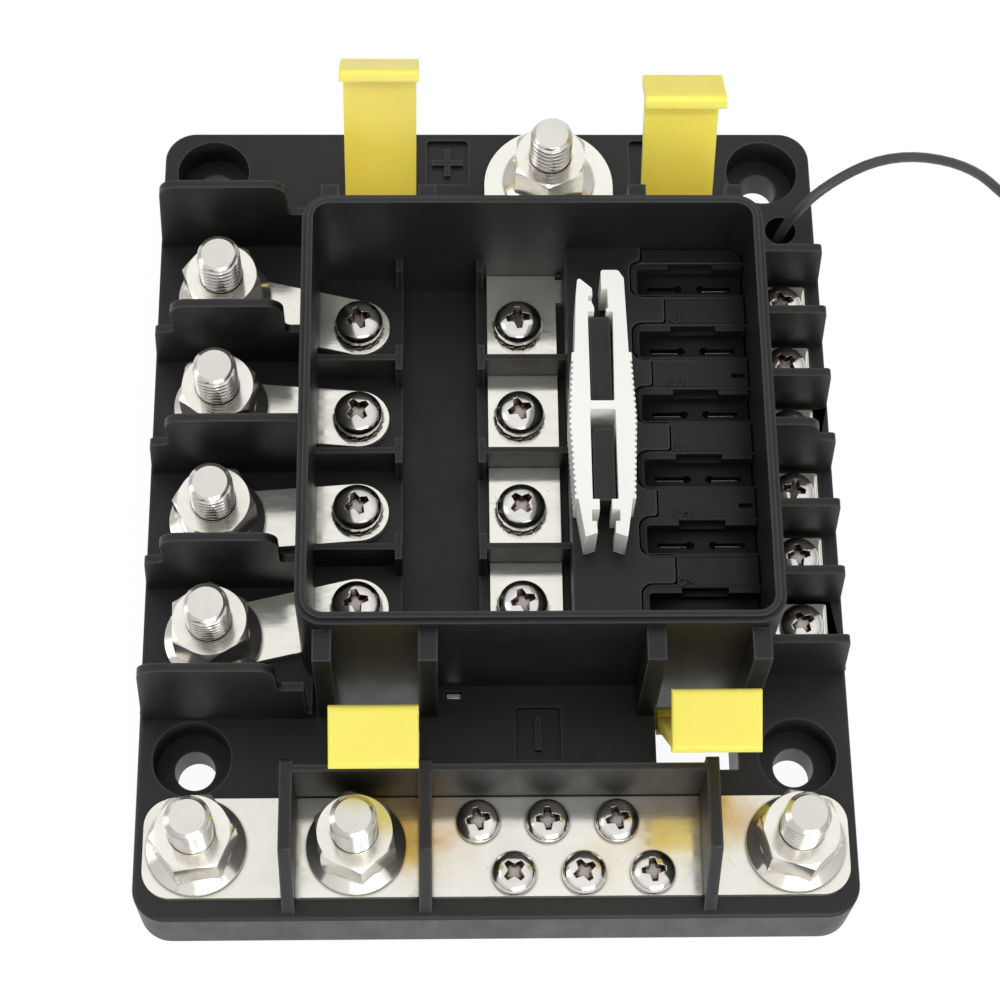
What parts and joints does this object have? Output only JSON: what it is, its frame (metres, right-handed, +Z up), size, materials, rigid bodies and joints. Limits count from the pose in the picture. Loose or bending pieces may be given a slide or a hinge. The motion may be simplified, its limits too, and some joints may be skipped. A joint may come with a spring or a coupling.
{
  "type": "fuse block",
  "caption": "Covered fuse block shown with its cover off: bolt-down fuse bay, blade fuse slots, stud terminals, bus bars and hinged latches on a black base.",
  "frame": {"origin": "centre of the four mounting holes, on the underside", "axes": "+Z up out of the mounting face, +X to the right towards the small screw terminals, +Y to the rear towards the positive stud"},
  "size_m": [0.1968, 0.1603, 0.0502],
  "materials": {
    "housing": "satin black moulding",
    "puller_plastic": "white moulding",
    "circuit_board": "green board",
    "plated_bar": "tin plated, satin",
    "plated_stud": "zinc plated",
    "plated_nut": "zinc plated",
    "plated_screw": "nickel plated",
    "latch_plastic": "yellow moulding",
    "lead_insulation": "satin black insulation",
    "tinned_wire": "tinned strands"
  },
  "bodies": {
    "block": {"base_moulding": "housing", "ato_fuse_carrier": "housing", "fuse_puller": "puller_plastic", "led_board": "circuit_board", "ato_input_clips": "plated_bar", "positive_bus_bar": "plated_bar", "negative_bus_bar": "plated_bar", "output_strap_1": "plated_bar", "output_strap_2": "plated_bar", "output_strap_3": "plated_bar", "output_strap_4": "plated_bar", "ato_output_terminal_1": "plated_bar", "ato_output_terminal_2": "plated_bar", "ato_output_terminal_3": "plated_bar", "ato_output_terminal_4": "plated_bar", "ato_output_terminal_5": "plated_bar", "ato_output_terminal_6": "plated_bar", "positive_stud": "plated_stud", "output_stud_1": "plated_stud", "output_stud_2": "plated_stud", "output_stud_3": "plated_stud", "output_stud_4": "plated_stud", "negative_stud_1": "plated_stud", "negative_stud_2": "plated_stud", "negative_stud_3": "plated_stud", "positive_nut": "plated_nut", "output_nut_1": "plated_nut", "output_nut_2": "plated_nut", "output_nut_3": "plated_nut", "output_nut_4": "plated_nut", "negative_nut_1": "plated_nut", "negative_nut_2": "plated_nut", "negative_nut_3": "plated_nut", "fuse_screws_left": "plated_screw", "fuse_screws_right": "plated_screw", "lock_washers_left": "plated_screw", "lock_washers_right": "plated_screw", "negative_bus_screws": "plated_screw", "terminal_screws": "plated_screw", "ground_lead": "lead_insulation", "ground_lead_coil": "lead_insulation", "ground_lead_end": "tinned_wire"},
    "latch_front_left": {"latch_front_left": "latch_plastic"},
    "latch_front_right": {"latch_front_right": "latch_plastic"},
    "latch_rear_left": {"latch_rear_left": "latch_plastic"},
    "latch_rear_right": {"latch_rear_right": "latch_plastic"}
  },
  "joints": [
    {"name": "latch_front_left_hinge", "type": "hinge", "parent": "block", "child": "latch_front_left", "pos_m": [-0.02095, -0.0523, 0.01], "axis": [-1, 0, 0], "range_deg": [-3.7, 28.4]},
    {"name": "latch_front_right_hinge", "type": "hinge", "parent": "block", "child": "latch_front_right", "pos_m": [0.03595, -0.0523, 0.01], "axis": [-1, 0, 0], "range_deg": [-4.5, 24.9]},
    {"name": "latch_rear_left_hinge", "type": "hinge", "parent": "block", "child": "latch_rear_left", "pos_m": [-0.02095, 0.0423, 0.01], "axis": [1, 0, 0], "range_deg": [-17.5, 44.3]},
    {"name": "latch_rear_right_hinge", "type": "hinge", "parent": "block", "child": "latch_rear_right", "pos_m": [0.03595, 0.0423, 0.01], "axis": [1, 0, 0], "range_deg": [-30.6, 31.2]}
  ]
}
